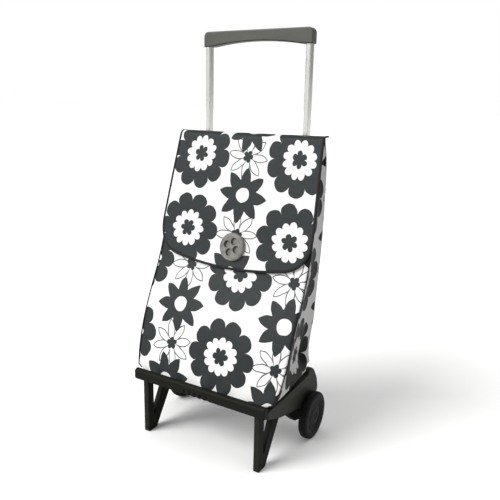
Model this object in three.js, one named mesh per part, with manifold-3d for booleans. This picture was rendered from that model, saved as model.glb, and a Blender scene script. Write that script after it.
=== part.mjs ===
// Two-wheeled folding shopping trolley with a wedge-shaped fabric bag.
// Millimetres, +Z up, front towards -Y. Each piece is drawn from the plane of the
// handle tubes (y = 0) and then moved back, so that the origin is under the centre of the footprint.
import * as THREE from 'three';
import * as BufferGeometryUtils from 'three/addons/utils/BufferGeometryUtils.js';
import Module from 'manifold-3d';

const wasm = await Module();
wasm.setup();

// overall
const tubePlaneY = 110;
const gap = 0.3;

// telescopic handle
const tubeX = 134;
const gripTopZ = 960;
const gripBottomZ = 925.4;
const gripHalfWidth = 144;
const gripDepth = 23;
const gripArch = 10;
const innerTube = { width: 12.4, depth: 17.6, wall: 1.3, bottomZ: 640, topZ: 948 };
const outerTube = { width: 16, depth: 21.5, wall: 1.4, bottomZ: 91, topZ: 696 };
const collar = { width: 24, depth: 26.4, bottomZ: 680, lipZ: 696.4, topZ: 703 };

// rear frame and wheels
const rearBlock = { halfWidth: 149.6, frontY: -13.5, rearY: 17, bottomZ: 88, topZ: 146 };
const axle = { y: -30, z: 58, radius: 5, halfLength: 199 };
const wheel = { radius: 58, innerX: 184, outerX: 206 };
const pivot = { y: -28, z: 140, radius: 5 };

// platform
const platformHalfWidth = 182;
const armThickness = 13.6;
const bar = { frontY: -246, rearY: -229.5, bottomZ: 139, topZ: 167 };
const floorPlate = { bottomZ: 142, topZ: 146, frontY: -229.2, rearY: -62 };
const legX = 157;
const legThickness = 14;

// bag
const cloth = 2.4;
const bagBottomZ = 154;
const bagTopZ = 724;
const backPanelY = -14;
const frontFoot = new THREE.Vector2(-226, 158);
const frontWaist = new THREE.Vector2(-112, 430);
const frontHead = new THREE.Vector2(-31, 724);
const flapLift = 4.5;
const flapHemZ = 421;

const trolley = new THREE.Group();
trolley.name = 'shopping_trolley';

function finish(color, roughness, metalness) {
  return new THREE.MeshStandardMaterial({ color, roughness, metalness });
}

const greyPlastic = finish(0x69695f, 0.55, 0);
const darkPlastic = finish(0x32322d, 0.5, 0);
const brightTube = finish(0xd9d9d2, 0.3, 1);
const steel = finish(0xb4b4b0, 0.35, 1);
const tyreRubber = finish(0x161616, 0.85, 0);
const hubPlastic = finish(0x3c3e3c, 0.6, 0);
const printedCloth = finish(0xf2f2f0, 0.6, 0);
const sideCloth = finish(0xe4e4e2, 0.6, 0);
const blackBinding = finish(0x121314, 0.6, 0);
const pewter = finish(0xa5a096, 0.45, 0.3);
const fibreBoard = finish(0x54504a, 0.9, 0);

function piece(name, geometry, material) {
  geometry.translate(0, tubePlaneY, 0);
  const mesh = new THREE.Mesh(geometry, material);
  mesh.name = name;
  trolley.add(mesh);
  return mesh;
}

// --- turning flat outlines into solids along each axis ---

function outline(points) {
  return new THREE.Shape(points.map(([u, v]) => new THREE.Vector2(u, v)));
}

// outline in (y, z), thickness from x0 to x1
function alongX(shape, x0, x1, curveSegments = 12) {
  const geometry = new THREE.ExtrudeGeometry(shape, { depth: x1 - x0, bevelEnabled: false, curveSegments });
  const turn = new THREE.Matrix4().makeBasis(
    new THREE.Vector3(0, 1, 0), new THREE.Vector3(0, 0, 1), new THREE.Vector3(1, 0, 0));
  return geometry.applyMatrix4(turn).translate(x0, 0, 0);
}

// outline in (x, z), thickness from the rear face forward
function alongY(shape, rearY, frontY, curveSegments = 12) {
  const geometry = new THREE.ExtrudeGeometry(shape, { depth: rearY - frontY, bevelEnabled: false, curveSegments });
  const turn = new THREE.Matrix4().makeBasis(
    new THREE.Vector3(1, 0, 0), new THREE.Vector3(0, 0, 1), new THREE.Vector3(0, -1, 0));
  return geometry.applyMatrix4(turn).translate(0, rearY, 0);
}

function alongZ(shape, z0, z1) {
  return new THREE.ExtrudeGeometry(shape, { depth: z1 - z0, bevelEnabled: false }).translate(0, 0, z0);
}

function rectangle(centreX, centreY, width, depth) {
  const w = width / 2;
  const d = depth / 2;
  return [[centreX - w, centreY - d], [centreX + w, centreY - d], [centreX + w, centreY + d], [centreX - w, centreY + d]];
}

function block3(x0, x1, y0, y1, z0, z1) {
  return new THREE.BoxGeometry(x1 - x0, y1 - y0, z1 - z0)
    .translate((x0 + x1) / 2, (y0 + y1) / 2, (z0 + z1) / 2);
}

function roundedRectangle(x0, x1, y0, y1, r) {
  const shape = new THREE.Shape();
  shape.moveTo(x0 + r, y0);
  shape.lineTo(x1 - r, y0);
  shape.absarc(x1 - r, y0 + r, r, -Math.PI / 2, 0);
  shape.lineTo(x1, y1 - r);
  shape.absarc(x1 - r, y1 - r, r, 0, Math.PI / 2);
  shape.lineTo(x0 + r, y1);
  shape.absarc(x0 + r, y1 - r, r, Math.PI / 2, Math.PI);
  shape.lineTo(x0, y0 + r);
  shape.absarc(x0 + r, y0 + r, r, Math.PI, 1.5 * Math.PI);
  return shape;
}

function rodAlongX(radius, x0, x1, y, z, segments = 24) {
  return new THREE.CylinderGeometry(radius, radius, x1 - x0, segments)
    .rotateZ(Math.PI / 2)
    .translate((x0 + x1) / 2, y, z);
}

function rodAlongY(radius, y0, y1, x, z, segments = 16) {
  return new THREE.CylinderGeometry(radius, radius, y1 - y0, segments).translate(x, (y0 + y1) / 2, z);
}

// profile of [radius, x] turned about the wheel's axle
function turnedAboutAxle(profile, segments) {
  const points = profile.map(([radius, x]) => new THREE.Vector2(radius, x));
  return new THREE.LatheGeometry(points, segments)
    .rotateZ(-Math.PI / 2)
    .translate(0, axle.y, axle.z);
}

// --- joining and cutting ---

function toManifold(geometry) {
  const bare = geometry.clone();
  bare.deleteAttribute('normal');
  bare.deleteAttribute('uv');
  const merged = BufferGeometryUtils.mergeVertices(bare, 1e-4);
  return new wasm.Manifold(new wasm.Mesh({
    numProp: 3,
    vertProperties: new Float32Array(merged.attributes.position.array),
    triVerts: new Uint32Array(merged.index.array),
  }));
}

function toGeometry(solid) {
  const mesh = solid.getMesh();
  const geometry = new THREE.BufferGeometry();
  geometry.setAttribute('position', new THREE.BufferAttribute(new Float32Array(mesh.vertProperties), 3));
  geometry.setIndex(new THREE.BufferAttribute(new Uint32Array(mesh.triVerts), 1));
  geometry.computeVertexNormals();
  return geometry;
}

function cut(geometry, ...tools) {
  let solid = toManifold(geometry);
  for (const tool of tools) {
    solid = solid.subtract(toManifold(tool));
  }
  return toGeometry(solid);
}

function common(a, b) {
  return toGeometry(toManifold(a).intersect(toManifold(b)));
}

function mirrored(geometry) {
  const copy = geometry.clone().scale(-1, 1, 1);
  const flat = copy.index ? copy.toNonIndexed() : copy;
  const position = flat.attributes.position;
  for (let i = 0; i < position.count; i += 3) {
    const p = [0, 1, 2].map((k) => new THREE.Vector3().fromBufferAttribute(position, i + k));
    [p[0], p[2], p[1]].forEach((v, k) => position.setXYZ(i + k, v.x, v.y, v.z));
  }
  flat.deleteAttribute('normal');
  if (flat.attributes.uv) {
    flat.deleteAttribute('uv');
  }
  flat.computeVertexNormals();
  return flat;
}

// the same piece on both sides, drawn for the +X side
function pair(name, geometry, material) {
  const other = mirrored(geometry);
  piece(`${name}_right`, geometry, material);
  piece(`${name}_left`, other, material);
}

// --- telescopic handle ---

function tube(spec) {
  const shape = outline(rectangle(tubeX, 0, spec.width, spec.depth));
  shape.holes.push(outline(rectangle(tubeX, 0, spec.width - 2 * spec.wall, spec.depth - 2 * spec.wall)));
  return alongZ(shape, spec.bottomZ, spec.topZ);
}

const gripPinZ = 941;
const gripFace = new THREE.Shape();
gripFace.moveTo(-gripHalfWidth, gripBottomZ);
gripFace.lineTo(-gripHalfWidth + 24, gripBottomZ);
gripFace.quadraticCurveTo(-gripHalfWidth / 2, gripBottomZ + gripArch, 0, gripBottomZ + gripArch);
gripFace.quadraticCurveTo(gripHalfWidth / 2, gripBottomZ + gripArch, gripHalfWidth - 24, gripBottomZ);
gripFace.lineTo(gripHalfWidth, gripBottomZ);
gripFace.lineTo(gripHalfWidth, gripTopZ - 12);
gripFace.absarc(gripHalfWidth - 12, gripTopZ - 12, 12, 0, Math.PI / 2);
gripFace.lineTo(-gripHalfWidth + 12, gripTopZ);
gripFace.absarc(-gripHalfWidth + 12, gripTopZ - 12, 12, Math.PI / 2, Math.PI);
const gripSockets = [-1, 1].flatMap((side) => [
  block3(side * tubeX - 6.5, side * tubeX + 6.5, -9.1, 9.1, gripBottomZ - 5, innerTube.topZ + gap),
  rodAlongY(2.3, 8, 20, side * tubeX, gripPinZ),
]);
piece('grip', cut(alongY(gripFace, gripDepth / 2, -gripDepth / 2, 8), ...gripSockets), greyPlastic);

pair('inner_tube', cut(tube(innerTube), rodAlongY(2.3, 4, 12, tubeX, gripPinZ)), brightTube);
pair('grip_pin', rodAlongY(2, -4, 11.2, tubeX, gripPinZ), steel);

const shoe = outline([[-8.9, 626], [8.9, 626], [8.9, 639.7], [7.1, 639.7], [7.1, 656], [-7.1, 656], [-7.1, 639.7], [-8.9, 639.7]]);
pair('glide_shoe', alongX(shoe, tubeX - 4.6, tubeX + 4.6), darkPlastic);

// --- rear frame ---

const tubePinZ = 118;
pair('outer_tube', cut(tube(outerTube), rodAlongY(2.8, 4, 14, tubeX, tubePinZ)), brightTube);

const collarBody = block3(tubeX - collar.width / 2, tubeX + collar.width / 2,
  -collar.depth / 2, collar.depth / 2, collar.bottomZ, collar.topZ);
const collarSleeve = block3(tubeX - 8.3, tubeX + 8.3, -11.05, 11.05, collar.bottomZ - 5, collar.lipZ);
const collarMouth = block3(tubeX - 6.5, tubeX + 6.5, -9.1, 9.1, collar.bottomZ, collar.topZ + 5);
pair('tube_collar', cut(collarBody, collarSleeve, collarMouth), darkPlastic);

const crossbarHalf = tubeX - collar.width / 2 - gap;
piece('top_crossbar', alongX(roundedRectangle(-5, 6, 684, 699, 3), -crossbarHalf, crossbarHalf, 3), darkPlastic);

const loopShape = roundedRectangle(-13.4, 8.2, 681.5, 701.5, 3);
loopShape.holes.push(roundedRectangle(-11.6, 6.4, 683.3, 699.7, 2));
pair('hanger_loop', alongX(loopShape, 62, 88, 3), blackBinding);

const blockCuts = [-1, 1].flatMap((side) => [
  block3(side * tubeX - 8.3, side * tubeX + 8.3, -11.05, 11.05, rearBlock.bottomZ - 5, rearBlock.topZ + 5),
  rodAlongY(2.8, 9, 25, side * tubeX, tubePinZ),
]);
const blockBody = block3(-rearBlock.halfWidth, rearBlock.halfWidth, rearBlock.frontY, rearBlock.rearY, rearBlock.bottomZ, rearBlock.topZ);
piece('base_block', cut(blockBody, ...blockCuts), darkPlastic);
pair('tube_pin', rodAlongY(2.5, 0, 16.6, tubeX, tubePinZ), steel);

const bracketShape = outline([
  [17, 148.8], [17, 88], [-14, 43], [-24, 40], [-36, 40], [-60, 46], [-84, 66], [-108, 98], [-108, 110], [-66, 136], [-52, 148.8],
]);
const bracketHoles = [axle, pivot].map((pin) => rodAlongX(pin.radius + gap, 140, 176, pin.y, pin.z));
pair('wheel_bracket', cut(alongX(bracketShape, 150, 166), ...bracketHoles), darkPlastic);

piece('axle', rodAlongX(axle.radius, -axle.halfLength, axle.halfLength, axle.y, axle.z), steel);
pair('axle_clip', turnedAboutAxle([[5.3, 196.4], [9, 196.4], [9, 198.2], [5.3, 198.2], [5.3, 196.4]], 20), steel);

// --- wheels ---

const { radius: wheelR, innerX, outerX } = wheel;
const tyreProfile = [
  [36, innerX + 2], [50, innerX], [55, innerX + 1.5], [wheelR, innerX + 5.5],
  [wheelR, outerX - 5.5], [55, outerX - 1.5], [50, outerX], [36, outerX - 2], [36, innerX + 2],
];
const hubProfile = [
  [5.4, 184.5], [12, 184.5], [12, 190], [30, 190], [30, 186], [35.6, 186],
  [35.6, 204], [31.4, 204], [31.4, 196], [5.4, 196], [5.4, 184.5],
];
const capProfile = [[0, 200.5], [31, 200.5], [31, 203.4], [28.5, 204.4], [0, 204.4]];
pair('tyre', turnedAboutAxle(tyreProfile, 48), tyreRubber);
pair('wheel_hub', turnedAboutAxle(hubProfile, 32), hubPlastic);
pair('hub_cap', turnedAboutAxle(capProfile, 32), hubPlastic);

// --- folding platform ---

const barFace = roundedRectangle(bar.frontY, bar.rearY, bar.bottomZ, bar.topZ, 7);
const fingerGrooves = [-24, -8, 8, 24].map((x) => new THREE.CylinderGeometry(5, 5, 20, 12)
  .translate(x, bar.frontY - 2.4, bar.bottomZ + 9));
piece('front_bar', cut(alongX(barFace, -platformHalfWidth, platformHalfWidth, 4), ...fingerGrooves), darkPlastic);

const armShape = new THREE.Shape();
armShape.moveTo(bar.rearY + gap, 134);
armShape.lineTo(-170, 112);
armShape.lineTo(-52, 85);
armShape.quadraticCurveTo(-20, 82, 14, 94);
armShape.quadraticCurveTo(27, 98, 26, 106);
armShape.quadraticCurveTo(24, 138, 2, 162);
armShape.quadraticCurveTo(-10, 175, -24, 172);
armShape.lineTo(-34, 160);
armShape.lineTo(-150, 154);
armShape.lineTo(bar.rearY + gap, 152);
const armInnerX = platformHalfWidth - armThickness;
const armPivotHole = rodAlongX(pivot.radius + gap, armInnerX - 2, 176.4, pivot.y, pivot.z);
pair('side_arm', cut(alongX(armShape, armInnerX, platformHalfWidth, 6), armPivotHole), darkPlastic);
pair('hinge_pin', rodAlongX(pivot.radius, 150.4, 176, pivot.y, pivot.z), steel);

const floorShape = roundedRectangle(-armInnerX + gap, armInnerX - gap, floorPlate.frontY, floorPlate.rearY, 4);
for (let x = -120; x <= 120; x += 60) {
  floorShape.holes.push(roundedRectangle(x - 20, x + 20, -205, -95, 6));
}
piece('floor_plate', alongZ(floorShape, floorPlate.bottomZ, floorPlate.topZ), darkPlastic);

const legTopZ = floorPlate.bottomZ - gap;
const legShape = outline([
  [-234, 0], [-203, 0], [-114, legTopZ], [-156, legTopZ], [-210, 38], [-213, 38],
  [-213, legTopZ], [bar.rearY + gap, legTopZ], [bar.rearY + gap, bar.bottomZ - gap], [-234, bar.bottomZ - gap],
]);
pair('front_leg', alongX(legShape, legX - legThickness / 2, legX + legThickness / 2), darkPlastic);

// --- bag ---

// half width of the bag at a height: drawn in between the arms, full in the middle
const sideCurve = new THREE.SplineCurve([
  new THREE.Vector2(164, bagBottomZ), new THREE.Vector2(166, 174), new THREE.Vector2(183, 189),
  new THREE.Vector2(193, 225), new THREE.Vector2(198, 290), new THREE.Vector2(200.5, 400),
  new THREE.Vector2(201, 490), new THREE.Vector2(195, 640), new THREE.Vector2(189, bagTopZ),
]).getPoints(24);

function bagOutline(inset, fromZ) {
  const right = sideCurve.filter((p) => p.y >= fromZ).map((p) => [p.x - inset, p.y]);
  const left = right.map(([x, z]) => [-x, z]).reverse();
  return outline([...right, ...left]);
}

const lowerSlope = (frontWaist.x - frontFoot.x) / (frontWaist.y - frontFoot.y);
const upperSlope = (frontHead.x - frontWaist.x) / (frontHead.y - frontWaist.y);
const tilt = Math.atan(upperSlope);

// y of the front, full below and flatter above its waist, or of a surface lifted off it
function frontY(z, lift) {
  const slope = z < frontWaist.y ? lowerSlope : upperSlope;
  return frontWaist.x + (z - frontWaist.y) * slope - 1.06 * lift;
}

// a slab that follows the front over the bag's whole width, for cutting sheets from
function frontSlab(liftIn, liftOut, z0, z1) {
  const heights = [z0, frontWaist.y, z1];
  const face = outline([
    ...heights.map((z) => [frontY(z, liftIn), z]),
    ...heights.reverse().map((z) => [frontY(z, liftOut), z]),
  ]);
  return alongX(face, -220, 220);
}

piece('bag_front_panel',
  common(frontSlab(-cloth, 0, frontFoot.y, bagTopZ), alongY(bagOutline(0, bagBottomZ), 0, -300)), printedCloth);

const backShape = outline([
  [backPanelY, bagTopZ], [backPanelY - cloth, bagTopZ], [backPanelY - cloth, 152], [-58, 152], [-58, 149.6],
  [backPanelY, 149.6],
]);
const backOutline = bagOutline(cloth + 0.5, bagBottomZ);
const backCutter = outline([
  ...backOutline.getPoints(1).map((p) => [p.x, p.y === bagBottomZ ? 140 : p.y]),
]);
piece('bag_back_panel', common(alongX(backShape, -200, 200), alongY(backCutter, 10, -80)), sideCloth);

// side walls: a bowed sheet between the back panel and the sloping front
const gussetSection = [...sideCurve.map((p) => [p.x, p.y]), ...sideCurve.map((p) => [p.x - cloth, p.y]).reverse()];
const gussetSide = outline([
  [backPanelY - cloth - gap, bagBottomZ], [backPanelY - cloth - gap, bagTopZ],
  [frontY(bagTopZ, -cloth - gap), bagTopZ], [frontY(frontWaist.y, -cloth - gap), frontWaist.y],
  [frontY(frontFoot.y, -cloth - gap), bagBottomZ],
]);
pair('bag_gusset', common(alongY(outline(gussetSection), 10, -300), alongX(gussetSide, 120, 230)), sideCloth);

piece('bag_base_panel', block3(-160, 160, -222, -62, 146.3, 148.8), sideCloth);
piece('bag_base_board', block3(-156, 156, -219, -66, 149.1, 152.1), fibreBoard);

// rolled binding down each front seam, below the flap
function seamBinding(side) {
  const line = sideCurve.filter((p) => p.y > 196)
    .map((p) => new THREE.Vector3(side * (p.x + 2.9), frontY(p.y, 0.4), p.y))
    .filter((p) => p.z < bagTopZ - 4);
  const path = new THREE.CatmullRomCurve3(line);
  const round = new THREE.Shape().absarc(0, 0, 1.7, 0, 2 * Math.PI);
  return new THREE.ExtrudeGeometry(round, { steps: 14, extrudePath: path, curveSegments: 3, bevelEnabled: false });
}
piece('front_binding_right', seamBinding(1), blackBinding);
piece('front_binding_left', seamBinding(-1), blackBinding);

// --- flap: over the top and down the front, with rounded lower corners ---

const flapThick = 2.2;
const flapRearY = -15.6;
const flapTopZ = bagTopZ + 3;

function hook(liftIn, liftOut, grow) {
  const topZ = flapTopZ + flapThick + grow;
  const underZ = flapTopZ - grow;
  return outline([
    [flapRearY, underZ], [frontY(underZ, liftIn), underZ],
    [frontY(frontWaist.y, liftIn), frontWaist.y], [frontY(380, liftIn), 380],
    [frontY(380, liftOut), 380], [frontY(frontWaist.y, liftOut), frontWaist.y],
    [frontY(underZ, liftOut), underZ], [frontY(topZ, liftOut) + 1.5, topZ], [flapRearY, topZ],
  ]);
}

function flapFace(inset) {
  const corner = 46 - inset;
  const edge = (z) => bagHalfWidthAt(z) + 4.2 - inset;
  const hem = flapHemZ + inset;
  const shape = new THREE.Shape();
  const rise = hem + 26;
  shape.moveTo(-edge(760), 760);
  for (const z of [700, 620, 560, 520]) {
    shape.lineTo(-edge(z), z);
  }
  shape.quadraticCurveTo(-edge(500), rise, -edge(500) + corner + 12, rise - 12);
  shape.quadraticCurveTo(0, hem - 12, edge(500) - corner - 12, rise - 12);
  shape.quadraticCurveTo(edge(500), rise, edge(520), 520);
  for (const z of [560, 620, 700, 760]) {
    shape.lineTo(edge(z), z);
  }
  return shape;
}

function bagHalfWidthAt(z) {
  const above = sideCurve.findIndex((p) => p.y >= z);
  if (above < 1) {
    return sideCurve[sideCurve.length - 1].x;
  }
  const a = sideCurve[above - 1];
  const b = sideCurve[above];
  return THREE.MathUtils.lerp(a.x, b.x, (z - a.y) / (b.y - a.y));
}

const bindingWidth = 3.4;
piece('flap_panel',
  common(alongX(hook(flapLift, flapLift + flapThick, 0), -230, 230), alongY(flapFace(bindingWidth + gap), 10, -300, 8)),
  printedCloth);
const bindingHook = alongX(hook(flapLift - 0.6, flapLift + flapThick + 0.6, 0.6), -230, 230);
const bindingBand = cut(alongY(flapFace(0), 10, -300, 8), alongY(flapFace(bindingWidth), 20, -310, 8));
piece('flap_binding', common(bindingHook, bindingBand), blackBinding);

// --- clasp: a large round button on the flap, over a snap on the bag ---

const clasp = { x: 9, z: 470, radius: 33.5, thick: 8 };

function discOnFront(radius, liftIn, liftOut, segments) {
  const centreLift = (liftIn + liftOut) / 2;
  return new THREE.CylinderGeometry(radius, radius, liftOut - liftIn, segments)
    .rotateX(-tilt)
    .translate(clasp.x, frontY(clasp.z, centreLift), clasp.z);
}

const claspFace = flapLift + flapThick + gap;
const button = discOnFront(clasp.radius, claspFace, claspFace + clasp.thick, 40);
const dimples = [[-1, -1], [1, -1], [1, 1], [-1, 1]].map(([sx, sz]) => new THREE.CylinderGeometry(6.5, 6.5, 6, 16)
  .translate(sx * 11.5, 0, sz * 11.5)
  .rotateX(-tilt)
  .translate(clasp.x, frontY(clasp.z, claspFace + clasp.thick), clasp.z));
piece('clasp_button', cut(button, ...dimples), pewter);
piece('clasp_socket', discOnFront(8, 2.3, flapLift - gap, 20), steel);
piece('clasp_stud', discOnFront(8, gap, 2, 20), steel);

export default trolley;
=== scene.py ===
import math
import bmesh
import bpy
from mathutils import Matrix, Vector, noise


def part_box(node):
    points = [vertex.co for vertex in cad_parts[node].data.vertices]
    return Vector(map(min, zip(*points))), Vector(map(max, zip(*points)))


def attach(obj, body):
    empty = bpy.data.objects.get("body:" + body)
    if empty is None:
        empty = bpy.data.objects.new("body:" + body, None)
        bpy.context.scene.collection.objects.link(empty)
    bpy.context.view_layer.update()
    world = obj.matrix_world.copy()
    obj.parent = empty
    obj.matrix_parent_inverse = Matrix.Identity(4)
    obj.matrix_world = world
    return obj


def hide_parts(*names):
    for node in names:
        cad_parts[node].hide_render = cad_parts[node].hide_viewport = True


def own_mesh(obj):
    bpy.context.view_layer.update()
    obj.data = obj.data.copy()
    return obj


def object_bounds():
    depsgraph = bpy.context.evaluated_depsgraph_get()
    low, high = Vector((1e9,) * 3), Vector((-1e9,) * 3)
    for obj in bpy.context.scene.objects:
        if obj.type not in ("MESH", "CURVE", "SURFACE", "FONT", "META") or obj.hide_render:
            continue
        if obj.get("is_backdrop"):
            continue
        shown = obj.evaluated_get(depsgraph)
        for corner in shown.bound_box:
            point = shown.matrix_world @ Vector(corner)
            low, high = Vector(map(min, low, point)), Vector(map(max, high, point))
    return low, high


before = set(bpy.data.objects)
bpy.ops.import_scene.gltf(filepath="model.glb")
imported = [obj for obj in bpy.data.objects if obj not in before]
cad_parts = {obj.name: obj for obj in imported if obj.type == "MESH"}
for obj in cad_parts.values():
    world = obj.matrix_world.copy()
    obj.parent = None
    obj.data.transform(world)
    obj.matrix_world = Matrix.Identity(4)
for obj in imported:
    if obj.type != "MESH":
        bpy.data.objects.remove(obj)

cadLow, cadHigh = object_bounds()
mm = 0.001
tubeLow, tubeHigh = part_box("inner_tube_left")
# the upright tubes stand in this plane, and y is measured from it
tubePlane = (tubeLow.y + tubeHigh.y) / 2 / mm


def at(x, y, z):
    return Vector((x * mm, (y + tubePlane) * mm, z * mm))


def ease(value):
    value = min(max(value, 0), 1)
    return value * value * (3 - 2 * value)


def mixed(a, b, share):
    return a + (b - a) * share


def evenSteps(first, last, count):
    return [mixed(first, last, k / count) for k in range(count + 1)]


def roundWay(steps):
    # cosine and sine at even steps round a circle
    return [(math.cos(a), math.sin(a)) for a in (2 * math.pi * k / steps for k in range(steps))]


def arcPoint(first, corner, last, weight, t):
    lower = (1 - t) ** 2 + 2 * t * (1 - t) * weight + t * t
    return (first * (1 - t) ** 2 + corner * 2 * t * (1 - t) * weight + last * t * t) / lower


def ringFaces(rings, count, closed=False):
    # faces between rings of points, with flat ends unless the last ring meets the first
    faces = []
    for i in range(rings if closed else rings - 1):
        m = (i + 1) % rings
        for k in range(count):
            n = (k + 1) % count
            faces.append((i * count + k, i * count + n, m * count + n, m * count + k))
    if not closed:
        faces.append(tuple(range(count)))
        faces.append(tuple(range((rings - 1) * count, rings * count)))
    return faces


# camera, light and floor
cameraSet = dict(azimuth=30.909, pitch=14.002, roll=1.2, place=(730.23, -1235.31, 797.26), lens=42.4966)
lightSet = dict(
    keyFrom=(-0.50, -0.76, 0.66), keyStrength=3.35, keySoftness=40, keyTint=(1, 0.998, 0.99),
    topFrom=(0.10, 0.10, 1), topStrength=1.5, topSoftness=100, fill=0.20, backdrop=(1, 1, 1),
    floorTone=(0.97, 0.97, 0.97), floorHalf=60,
)


def makeCamera(size):
    azimuth, pitch, roll = (math.radians(size[k]) for k in ("azimuth", "pitch", "roll"))
    ahead = Vector((-math.sin(azimuth) * math.cos(pitch), math.cos(azimuth) * math.cos(pitch),
                    -math.sin(pitch)))
    right = Vector((math.cos(azimuth), math.sin(azimuth), 0))
    up = right.cross(ahead)
    rightTurned = right * math.cos(roll) + up * math.sin(roll)
    upTurned = up * math.cos(roll) - right * math.sin(roll)
    data = bpy.data.cameras.new("camera")
    data.sensor_width = 36
    data.lens = size["lens"]
    camera = bpy.data.objects.new("camera", data)
    bpy.context.collection.objects.link(camera)
    turn = Matrix((rightTurned, upTurned, -ahead)).transposed().to_4x4()
    camera.matrix_world = Matrix.Translation(at(*size["place"])) @ turn
    bpy.context.scene.camera = camera


makeCamera(cameraSet)
bpy.context.scene.view_settings.view_transform = "Standard"
print("camera placed")


def smoothBy(obj, angle):
    for face in obj.data.polygons:
        face.use_smooth = True
    obj.data.set_sharp_from_angle(angle=math.radians(angle))


def newObject(name, mesh):
    obj = bpy.data.objects.new(name, mesh)
    bpy.context.collection.objects.link(obj)
    return obj


def cleanMesh(mesh, join=0, dissolve=0, outward=True):
    body = bmesh.new()
    body.from_mesh(mesh)
    if join:
        bmesh.ops.remove_doubles(body, verts=body.verts, dist=join)
    if dissolve:
        bmesh.ops.dissolve_degenerate(body, edges=body.edges, dist=dissolve)
    if outward:
        bmesh.ops.recalc_face_normals(body, faces=body.faces)
    body.to_mesh(mesh)
    body.free()


def meshFrom(name, points, faces, angle):
    mesh = bpy.data.meshes.new(name)
    mesh.from_pydata(points, [], faces)
    cleanMesh(mesh)
    obj = newObject(name, mesh)
    smoothBy(obj, angle)
    return obj


def evenNormals(obj):
    even = obj.modifiers.new("even normals", "WEIGHTED_NORMAL")
    even.keep_sharp = True
    even.weight = 70


def roundedCorners(points, radii, steps=5):
    # the outline with each corner turned into an arc; a radius of 0 keeps the corner
    if not hasattr(radii, "__len__"):
        radii = [radii] * len(points)
    result = []
    for i, radius in enumerate(radii):
        corner = Vector(points[i])
        toward = Vector(points[i - 1]) - corner
        onward = Vector(points[(i + 1) % len(points)]) - corner
        if radius <= 0:
            result.append(tuple(corner))
            continue
        half = toward.angle(onward) / 2
        reach = min(radius / math.tan(half), toward.length * 0.49, onward.length * 0.49)
        first = corner + toward.normalized() * reach
        last = corner + onward.normalized() * reach
        for k in range(steps + 1):
            t = k / steps
            weight = math.sin(half) if half > 0.1 else 0.1
            result.append(tuple(arcPoint(first, corner, last, weight, t)))
    return result


def boxOutline(u0, u1, v0, v1, radius, steps=5):
    return roundedCorners([(u0, v0), (u1, v0), (u1, v1), (u0, v1)], radius, steps)


axisTurns = {
    "x": Matrix(((0, 0, 1), (1, 0, 0), (0, 1, 0))),
    "y": Matrix(((1, 0, 0), (0, 0, -1), (0, 1, 0))),
    "z": Matrix.Identity(3),
}


def moulded(name, rings, axis, low, high, edge, edgeSteps):
    # outlines extruded along an axis, holes and all, with rounded edges
    curve = bpy.data.curves.new(name, "CURVE")
    curve.dimensions = "2D"
    curve.fill_mode = "BOTH"
    for ring in rings:
        line = curve.splines.new("POLY")
        line.points.add(len(ring) - 1)
        for point, (u, v) in zip(line.points, ring):
            point.co = (u * mm, v * mm, 0, 1)
        line.use_cyclic_u = True
    curve.extrude = ((high - low) / 2 - edge) * mm
    curve.bevel_depth = edge * mm
    curve.bevel_resolution = edgeSteps
    curve.offset = -edge * mm
    drawn = newObject(name + ".curve", curve)
    graph = bpy.context.evaluated_depsgraph_get()
    mesh = bpy.data.meshes.new_from_object(drawn.evaluated_get(graph))
    bpy.data.objects.remove(drawn)
    mesh.name = name
    middle = (low + high) / 2
    offset = {"x": at(middle, 0, 0), "y": at(0, middle, 0), "z": at(0, 0, middle)}[axis]
    mesh.transform(Matrix.Translation(offset) @ axisTurns[axis].to_4x4())
    cleanMesh(mesh, join=0.00002, dissolve=0.00001)
    obj = newObject(name, mesh)
    smoothBy(obj, 40)
    evenNormals(obj)
    return obj


def turned(name, profile, centre, steps):
    # a closed profile of (radius, x) turned about the line through centre, along x
    points, faces, rows = [], [], []
    for radius, x in profile:
        if radius < 0.001:
            rows.append([len(points)])
            points.append(at(x, centre[0], centre[1]))
            continue
        rows.append(list(range(len(points), len(points) + steps)))
        points += [at(x, centre[0] + radius * u, centre[1] + radius * v) for u, v in roundWay(steps)]
    pairs = list(zip(rows, rows[1:]))
    if len(rows[0]) > 1:
        pairs.append((rows[-1], rows[0]))
    for a, b in pairs:
        for k in range(steps):
            n = (k + 1) % steps
            if len(a) == 1:
                faces.append((a[0], b[k], b[n]))
            elif len(b) == 1:
                faces.append((a[k], b[0], a[n]))
            else:
                faces.append((a[k], b[k], b[n], a[n]))
    return meshFrom(name, points, faces, 35)


def swept(name, path, section, sideways):
    # a section of (out, up) carried along a path; sideways gives the out direction at each point
    points = []
    for i, place in enumerate(path):
        ahead = (path[min(i + 1, len(path) - 1)] - path[max(i - 1, 0)]).normalized()
        out = sideways[i] - ahead * sideways[i].dot(ahead)
        out.normalize()
        up = ahead.cross(out)
        points.extend(place + out * (a * mm) + up * (b * mm) for a, b in section)
    return meshFrom(name, points, ringFaces(len(path), len(section)), 80)


def ovalSection(width, height, steps):
    return [(width / 2 * u, height / 2 * v) for u, v in roundWay(steps)]


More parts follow.
